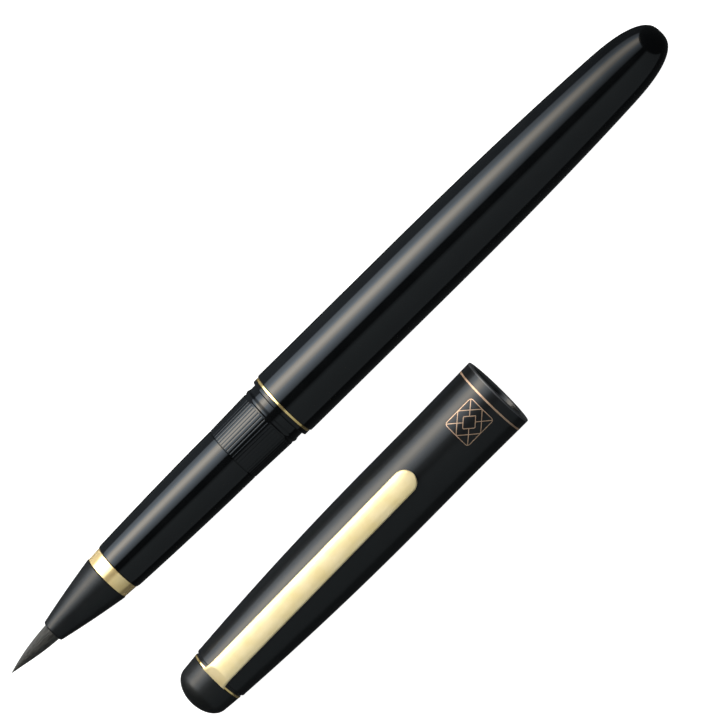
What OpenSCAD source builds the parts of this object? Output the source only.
// Cartridge brush pen for calligraphy, uncapped, with its cap lying beside it.
// X runs along the pen from the brush tip to the tail, Z is up, and pen and cap lie on Z = 0.
// Radii step from the barrel's radius, so a thicker pen keeps its walls and its fits.

/* [Barrel] */
// Radius of the straight part of the barrel
barrel_r = 5.74; // [4.8:0.01:6.9]
// Length of the barrel, mouth to tail
barrel_len = 79.75; // [66:0.05:96]
// Straight stretch behind the mouth
straight_len = 27.3; // [20:0.1:34]
// Radius lost along the taper behind the straight stretch
tail_drop = 1.59; // [0.8:0.01:2]
// Length that the round tail takes
dome_len = 11; // [8:0.5:14]
// Solid stretch behind the bore
tail_solid = 12.45; // [10:0.05:16]
// Wall of the barrel around the screw bush
mouth_wall = 0.64; // [0.5:0.02:0.8]

/* [Joint] */
// Wall of the screw bush in the barrel's mouth
bush_wall = 0.70; // [0.5:0.05:0.9]
// Length of the screw bush
bush_len = 8; // [6.5:0.1:10]
// Thickness of the gold ring between flange and barrel
ring_len = 0.45; // [0.3:0.05:0.6]
// Thickness of the flange that the cap's mouth meets
flange_len = 0.65; // [0.5:0.05:0.9]
// Length of the neck between bead and flange
neck_len = 1.1; // [0.8:0.1:1.6]
// Length of the bead that the cap snaps over
bead_len = 1.0; // [0.8:0.1:1.4]

/* [Grip] */
// Length of the ribbed stretch in front of the bead
rib_len = 7.9; // [6:0.1:9.5]
// Length of the plain grip
grip_len = 24.5; // [20:0.5:30]
// Wall at the front of the grip
grip_wall = 0.75; // [0.6:0.05:0.9]
// Length of the gold band
band_len = 2.35; // [1.8:0.05:3]

/* [Nose] */
// Length of the nose cone
nose_len = 11.65; // [9.5:0.05:14]
// Outer radius of the nose cone's lip
lip_r = 1.9; // [1.8:0.05:2.2]
// Length of the nose's spigot inside the grip
nose_spigot_len = 4; // [3:0.5:5]

/* [Tuft] */
// Length of tuft in front of the nose
tuft_out = 9.1; // [7.5:0.1:11]
// Radius of the tuft where it is fullest
tuft_r = 1.5; // [1.25:0.05:1.55]
// Length over which the tuft swells from its point
tuft_swell = 11; // [9:0.5:13]
// Distance from the nose to the point that the tuft bends about
bend_back = 1.7; // [1.4:0.1:2]

/* [Ink feed] */
// Radius of the wick
wick_r = 0.6; // [0.5:0.05:0.7]
// Radius of the collector's hub
hub_r = 1.4; // [1.1:0.05:1.6]
// Number of fins on the collector
fins = 18; // [12:1:20]
// Outer radius of the nipple that enters the cartridge
nipple_r = 1.3; // [1.05:0.05:1.6]
// Length of the nipple behind its flange
nipple_len = 11.5; // [9.5:0.5:13]
// Free stretch of bore behind the cartridge
cartridge_room = 14; // [11:0.5:17]
// Wall of the cartridge
cartridge_wall = 0.7; // [0.5:0.05:0.9]

/* [Cap] */
// Length of the crown, dome to gold ring
crown_len = 5.26; // [4.4:0.02:6.3]
// Thickness of the cap's gold ring
cap_ring_len = 0.64; // [0.5:0.02:0.8]
// Thickness of the wall that closes the shell
end_wall = 1.1; // [0.9:0.1:1.4]
// Thickness of the nut that holds crown, ring and shell together
nut_len = 1.0; // [0.8:0.1:1.2]
// Thickness of the inner cap's floor
inner_floor = 0.5; // [0.4:0.05:0.6]
// Air between the tuft's point and the inner cap's floor when capped
tip_room = 0.4; // [0.3:0.05:1]
// Radius lost from the middle of the cap to its crown end
cap_drop = 1.32; // [1.1:0.02:1.4]
// Length of that taper
cap_taper_len = 37.6; // [31:0.2:45]
// Length of the slight flare at the mouth
flare_len = 11.5; // [9.5:0.5:14]

/* [Clip] */
// Length of the clip
clip_len = 43; // [36:0.5:52]
// Width of the clip
clip_w = 3.85; // [3.2:0.05:4.6]
// Thickness of the clip's arm
clip_t = 0.75; // [0.6:0.05:0.9]

/* [Lay] */
// Gap between pen and cap as they lie
lay_gap = 10.05; // [8:0.05:14]
// Turn of the cap, its mouth towards the pen
lay_turn = 0.9; // [0:0.1:2]
// Distance from the brush tip to the crown's end, along the pen
lay_start = 16.63; // [12:0.01:20]

/* [Hidden] */
$fn = 96;

// Clearances
run_gap = 0.05;       // radial, between pieces that turn or slide in each other
press_gap = 0.02;     // radial, between pieces that are pressed together
snap_gap = 0.08;      // radial, between the bead and the cap's bore
spigot_room = 0.2;    // lengthwise, between the spigot's end and the shoulder behind the bush

// Places along the pen, measured from the brush tip
nose_u = tuft_out;
band_u = nose_u + nose_len;
grip_u = band_u + band_len;
rib_u = grip_u + grip_len;
bead_u = rib_u + rib_len;
neck_u = bead_u + bead_len;
flange_u = neck_u + neck_len;
ring_u = flange_u + flange_len;
mouth_u = ring_u + ring_len;
spigot_end_u = mouth_u + bush_len - spigot_room;
tail_u = mouth_u + barrel_len;

// Radii of the pen
flange_r = barrel_r - 0.16;
trim_ring_r = barrel_r - 0.17;
bead_r = barrel_r - 0.52;
neck_r = barrel_r - 0.65;
rib_end_r = barrel_r - 0.72;
grip_rear_r = barrel_r - 0.88;
grip_front_r = barrel_r - 1.52;
band_rear_r = barrel_r - 1.67;
band_front_r = barrel_r - 1.81;
nose_rear_r = barrel_r - 1.72;
bush_r = barrel_r - mouth_wall;
bush_bore_r = bush_r - bush_wall;
spigot_r = bush_bore_r - run_gap;
core_r = grip_front_r - grip_wall - 0.07;       // the bore that runs through the grip
cartridge_r = core_r + 0.2;
bore_r = cartridge_r + 0.3;

// Tuft, holder and feed
tuft_root_r = tuft_r - 0.02;
nose_bore_r = tuft_r + run_gap;
holder_front_r = tuft_r + 0.45;
holder_r = core_r - 0.92;
holder_u = nose_u + 3.4;
holder_step_u = holder_u + 3.5;
holder_end_u = holder_step_u + 5;
root_end_u = holder_end_u - 1.5;
bend_u = nose_u - bend_back;
ball_r = 0.8 * tuft_r;
root_u = bend_u + 0.3;
wick_u = root_end_u - 4;
collector_u = band_u + nose_spigot_len + 2.7;
nipple_u = ring_u - 0.25;
nipple_flange_len = 2;
seal_section_r = 0.45;
seal_u = nipple_u - 2 * seal_section_r;
wick_end_u = nipple_u + 0.75 * nipple_flange_len;
nipple_end_u = nipple_u + nipple_flange_len + nipple_len;

// Cartridge
bore_end_u = tail_u - tail_solid;
cartridge_end_u = bore_end_u - cartridge_room;
cartridge_neck_u = spigot_end_u + 0.4;
cartridge_u = cartridge_neck_u + 3.1;
cartridge_neck_r = nipple_r + 1.1;
cartridge_plug_len = 2;

// Cap, measured from the crown's end
cap_r = barrel_r + 0.38;
cap_mouth_r = cap_r + 0.13;
cap_edge_r = cap_r - cap_drop;
cap_neck_r = cap_edge_r - 0.23;
cap_ring_r = cap_edge_r - 0.14;
crown_r = cap_ring_r - 0.05;
crown_dome_r = crown_r - 0.23;
crown_dome_len = 3;
stem_r = 1.6;
nut_r = stem_r + 1.6;
cap_ring_v = crown_len + 0.02;
shell_v = cap_ring_v + cap_ring_len;
shell_floor_v = shell_v + end_wall;
inner_v = shell_floor_v + nut_len;
tip_v = inner_v + inner_floor + tip_room;       // where the tuft's point comes when capped
cap_len = tip_v + flange_u;
inner_mouth_v = tip_v + grip_u - 0.55;
inner_step_v = inner_v + 8;
inner_r = cap_edge_r - 0.62;
inner_wide_r = inner_r + 0.55;
inner_bore_r = inner_r - 0.6;
inner_wide_bore_r = inner_wide_r - 0.5;
inner_wide_v = inner_step_v + 8;
cap_bore_r = bead_r + snap_gap;
cap_bore_v = inner_mouth_v + 1.5;

// Clip
clip_v = cap_ring_v;
clip_lift = 0.06;     // air between the clip's foot and the ring
clip_side = 0.25;     // the clip sits this far towards the pen

// Lay
pen_z = barrel_r;
cap_z = cap_mouth_r;
lay_pitch = barrel_r + cap_r + lay_gap;
pen_y = (lay_pitch + cap_r - barrel_r) / 2;
cap_y = pen_y - lay_pitch;
tip_x = -tail_u / 2;
turn_v = 35;          // the cap is turned about this point of its axis

// ---- Outlines -------------------------------------------------------------------------------

// A chord from a to b, bulged outwards by rise at its middle
function bulged(a, b, rise, n) =
    [for (i = [0:n]) let (t = i / n) [a[0] + (b[0] - a[0]) * t, a[1] + (b[1] - a[1]) * t + 4 * rise * t * (1 - t)]];

// A quarter of an ellipse from [u, r - high] out to [u + long, r]
function quarter(u, r, long, high, n) =
    [for (i = [0:n]) let (a = 90 * i / n) [u + long * (1 - cos(a)), r - high * (1 - sin(a))]];

taper_power = 2.4;
dome_power = 2.8;

function barrel_taper(s) =
    barrel_r - tail_drop * pow(max(0, (s - straight_len) / (barrel_len - straight_len)), taper_power);
function dome_depth(a) = dome_len * (1 - pow(cos(a), 2 / dome_power));
function dome_share(a) = pow(sin(a), 2 / dome_power);

taper_steps = 10;
dome_steps = 14;
barrel_outer = concat(
    [[mouth_u, barrel_r - 0.12], [mouth_u + 0.12, barrel_r]],
    [for (i = [0:taper_steps - 1]) let (s = straight_len + (barrel_len - dome_len - straight_len) * i / taper_steps)
        [mouth_u + s, barrel_taper(s)]],
    [for (i = [0:dome_steps - 1]) let (a = 90 * (1 - i / dome_steps), s = barrel_len - dome_depth(a))
        [mouth_u + s, barrel_taper(s) * dome_share(a)]],
    [[tail_u, 0]]);

grip_power = 1.6;
grip_steps = 10;
grip_outer = concat(
    [[grip_u, grip_front_r - 0.12], [grip_u + 0.4, grip_front_r]],
    [for (i = [1:grip_steps]) let (t = i / grip_steps)
        [grip_u + grip_len * t, grip_rear_r - (grip_rear_r - grip_front_r) * pow(1 - t, grip_power)]],
    [[bead_u, rib_end_r]],
    bulged([bead_u + 0.2, bead_r - 0.08], [neck_u - 0.15, neck_r], 0.09, 6),
    [[flange_u, neck_r], [flange_u, flange_r], [ring_u, flange_r], [ring_u, spigot_r], [spigot_end_u, spigot_r]]);

function tuft_at(u) = tuft_r * sin(90 * pow(min(1, u / tuft_swell), 0.95));

cap_taper_steps = 12;
cap_outer = concat(
    [[shell_v, cap_neck_r], [shell_v + 0.35, cap_neck_r]],
    quarter(shell_v + 0.35, cap_edge_r, 0.6, 0.16, 4),
    [for (i = [1:cap_taper_steps]) let (t = i / cap_taper_steps)
        [shell_v + 0.95 + (cap_taper_len - 0.45) * t, cap_r - cap_drop * pow(1 - t, 2)]],
    bulged([cap_len - flare_len, cap_r], [cap_len - 0.9, cap_mouth_r], 0, 1),
    [[cap_len - 0.3, cap_mouth_r - 0.06], [cap_len, cap_mouth_r - 0.35]]);

// ---- Placing and turning --------------------------------------------------------------------

// Turns an outline of [distance, radius] points about the X axis
module turned(outline)
    rotate([0, 90, 0]) rotate_extrude() polygon([for (p = outline) [p[1], p[0]]]);

// A plain tube from distance a to b
module tube(a, b, outer, inner)
    turned([[a, inner], [a, outer], [b, outer], [b, inner]]);

module on_pen() translate([tip_x, pen_y, pen_z]) children();

module on_cap()
    translate([tip_x + lay_start + turn_v, cap_y, cap_z]) rotate([0, 0, lay_turn]) translate([-turn_v, 0, 0])
        children();

// ---- Barrel ---------------------------------------------------------------------------------

module barrel() color([0.02, 0.02, 0.022]) on_pen()
    turned(concat(barrel_outer, [[bore_end_u, 0], [bore_end_u, bore_r - 1.2], [bore_end_u - 1.2, bore_r],
        [mouth_u + bush_len, bore_r], [mouth_u + bush_len, bush_r], [mouth_u, bush_r]]));

// The screw thread of the joint is plain here: bush and spigot keep a running clearance
module barrel_bush() color([0.75, 0.6, 0.3]) on_pen()
    tube(mouth_u, mouth_u + bush_len - press_gap, bush_r - press_gap, bush_bore_r);

module trim_ring() color([0.85, 0.7, 0.35]) on_pen()
    tube(ring_u, mouth_u, trim_ring_r, spigot_r + run_gap);

// ---- Front ----------------------------------------------------------------------------------

module grip() color([0.02, 0.02, 0.022]) on_pen()
    turned(concat(grip_outer, [[spigot_end_u, core_r], [grip_u, core_r]]));

module front_band() color([0.85, 0.7, 0.35]) on_pen()
    turned([[band_u, core_r], [band_u, band_front_r], [grip_u, band_rear_r], [grip_u, core_r]]);

module nose_cone() color([0.06, 0.06, 0.065]) on_pen()
    turned(concat(
        quarter(nose_u, lip_r, 0.25, 0.2, 4),
        bulged([nose_u + 0.3, lip_r + 0.01], [band_u - 0.15, nose_rear_r], 0.085, 10),
        [[band_u, nose_rear_r - 0.12], [band_u, core_r - press_gap],
         [band_u + band_len + nose_spigot_len, core_r - press_gap],
         [band_u + band_len + nose_spigot_len, holder_r + press_gap], [holder_step_u, holder_r + press_gap],
         [holder_step_u, holder_front_r + press_gap], [holder_u, holder_front_r + press_gap],
         [holder_u, nose_bore_r], [nose_u, nose_bore_r]]));

module tuft_holder() color([0.85, 0.85, 0.82]) on_pen()
    turned([[holder_u, nose_bore_r], [holder_u, holder_front_r], [holder_step_u, holder_front_r],
        [holder_step_u, holder_r], [holder_end_u, holder_r], [holder_end_u, wick_r + press_gap],
        [root_end_u, wick_r + press_gap], [root_end_u, nose_bore_r]]);

// The tuft bends about a ball, so that tip and root keep the same gap at every angle
module tuft_root() color([0.1, 0.1, 0.1]) on_pen()
    difference() {
        turned(concat([[root_u, 0]],
            [for (i = [0:6]) let (u = root_u + (nose_u + 1 - root_u) * i / 6) [u, min(tuft_at(u), tuft_root_r)]],
            [[root_end_u - press_gap, tuft_root_r], [root_end_u - press_gap, wick_r + press_gap],
             [wick_u, wick_r + press_gap], [wick_u, 0]]));
        translate([bend_u, 0, 0]) sphere(r = ball_r + run_gap);
    }

tip_steps = 12;
ball_u = bend_u - 1;
module tuft_tip() color([0.1, 0.1, 0.1]) on_pen()
    turned(concat(
        [for (i = [0:tip_steps]) let (u = ball_u * i / tip_steps) [u, min(tuft_at(u), ball_r)]],
        [for (i = [0:8]) let (a = 90 * i / 8) [bend_u + ball_r * sin(a), ball_r * cos(a)]]));

module ink_wick() color([0.9, 0.9, 0.88]) on_pen()
    tube(wick_u + press_gap, wick_end_u, wick_r, 0);

module collector() color([0.08, 0.08, 0.085]) on_pen()
    difference() {
        union() {
            tube(collector_u, nipple_u, hub_r, 0);
            for (i = [0:fins - 1])
                translate([collector_u + fin_pitch * i, 0, 0]) tube(0, fin_t, core_r - press_gap, 0);
        }
        tube(collector_u - 1, nipple_u + 1, wick_r + press_gap, 0);
    }
fin_t = 0.6;
fin_pitch = (seal_u - 0.3 - fin_t - collector_u) / (fins - 1);

module feed_seal() color([0.15, 0.05, 0.04]) on_pen()
    translate([nipple_u - seal_section_r, 0, 0]) rotate([0, 90, 0])
        rotate_extrude() translate([core_r - seal_section_r - press_gap, 0]) circle(r = seal_section_r);

module nipple() color([0.7, 0.7, 0.7]) on_pen()
    turned([[nipple_u, wick_r + press_gap], [nipple_u, core_r - press_gap],
        [nipple_u + nipple_flange_len, core_r - press_gap], [nipple_u + nipple_flange_len, nipple_r],
        [nipple_end_u - 0.8, nipple_r], [nipple_end_u, nipple_r - 0.3], [nipple_end_u, wick_r + press_gap]]);

// ---- Cartridge ------------------------------------------------------------------------------

seal_r = nipple_r + 0.6;
seal_end_u = cartridge_u - 0.4;

module cartridge_body() color([0.75, 0.78, 0.8]) on_pen()
    turned([[cartridge_neck_u, seal_r + press_gap], [cartridge_neck_u, cartridge_neck_r],
        [cartridge_u - 0.8, cartridge_neck_r], [cartridge_u + 0.4, cartridge_r],
        [cartridge_end_u, cartridge_r], [cartridge_end_u, cartridge_r - cartridge_wall],
        [cartridge_u + 1, cartridge_r - cartridge_wall], [cartridge_u + 0.2, seal_r + press_gap]]);

module cartridge_seal() color([0.2, 0.2, 0.22]) on_pen()
    tube(cartridge_neck_u, seal_end_u, seal_r, nipple_r + run_gap);

module cartridge_end() color([0.75, 0.78, 0.8]) on_pen()
    turned([[cartridge_end_u - cartridge_plug_len, 0],
        [cartridge_end_u - cartridge_plug_len, cartridge_r - cartridge_wall - press_gap],
        [cartridge_end_u, cartridge_r - cartridge_wall - press_gap], [cartridge_end_u, cartridge_r],
        [cartridge_end_u + 0.8, cartridge_r - 0.2], [cartridge_end_u + 0.8, 0]]);

// ---- Cap ------------------------------------------------------------------------------------

module cap_shell() color([0.02, 0.025, 0.022]) on_cap()
    turned(concat(cap_outer, [[cap_len, cap_bore_r + 0.25], [cap_len - 0.4, cap_bore_r],
        [cap_bore_v, cap_bore_r], [cap_bore_v, inner_wide_r + press_gap],
        [inner_step_v, inner_wide_r + press_gap], [inner_step_v, inner_r + press_gap],
        [shell_floor_v, inner_r + press_gap], [shell_floor_v, stem_r + press_gap],
        [shell_v, stem_r + press_gap]]));

module inner_cap() color([0.12, 0.12, 0.13]) on_cap()
    turned([[inner_v, 0], [inner_v, inner_r], [inner_step_v + press_gap, inner_r],
        [inner_step_v + press_gap, inner_wide_r], [inner_mouth_v, inner_wide_r],
        [inner_mouth_v, inner_wide_bore_r], [inner_wide_v, inner_wide_bore_r],
        [inner_wide_v - 0.4, inner_bore_r], [inner_v + inner_floor, inner_bore_r], [inner_v + inner_floor, 0]]);

module crown() color([0.02, 0.02, 0.022]) on_cap()
    turned(concat(
        [for (i = [0:10]) let (a = 90 * i / 10) [crown_dome_len * (1 - cos(a)), crown_dome_r * sin(a)]],
        [[crown_len, crown_r], [crown_len, stem_r], [inner_v, stem_r], [inner_v, 0]]));

module clip_ring() color([0.85, 0.7, 0.35]) on_cap()
    tube(cap_ring_v, shell_v, cap_ring_r, stem_r + press_gap);

module crown_nut() color([0.75, 0.6, 0.3]) on_cap()
    tube(shell_floor_v, inner_v, nut_r, stem_r + press_gap);

// ---- Clip -----------------------------------------------------------------------------------

clip_end_v = clip_v + clip_len;
foot_low = cap_ring_r + clip_lift;
arm_low = cap_edge_r + 0.45;
arm_end_low = cap_r + 0.3;
pad_low = cap_r + clip_lift;

// Seen from the side: the foot over the ring, the straight arm and the pad that presses on the shell
clip_side_view = [[clip_v, foot_low], [clip_v + 1.1, foot_low], [clip_v + 2.4, arm_low],
    [clip_end_v - 4.5, arm_end_low], [clip_end_v - 2.6, pad_low], [clip_end_v - 1.6, pad_low],
    [clip_end_v, arm_end_low], [clip_end_v, arm_end_low + 0.3], [clip_end_v - 1.2, arm_end_low + clip_t],
    [clip_v + 2, arm_low + clip_t], [clip_v + 0.5, foot_low + 0.9], [clip_v, foot_low + 0.5]];

module clip() color([0.9, 0.8, 0.5]) on_cap() translate([0, clip_side, 0])
    intersection() {
        translate([0, clip_w / 2, 0]) rotate([90, 0, 0]) linear_extrude(clip_w) polygon(clip_side_view);
        union() {
            translate([clip_v, -clip_w / 2, 0]) cube([clip_len - clip_w / 2, clip_w, 2 * cap_mouth_r]);
            translate([clip_end_v - clip_w / 2, 0, 0]) cylinder(r = clip_w / 2, h = 2 * cap_mouth_r);
        }
    }

barrel();
barrel_bush();
trim_ring();
grip();
front_band();
nose_cone();
tuft_holder();
tuft_root();
tuft_tip();
ink_wick();
collector();
feed_seal();
nipple();
cartridge_body();
cartridge_seal();
cartridge_end();
cap_shell();
inner_cap();
crown();
clip_ring();
crown_nut();
clip();
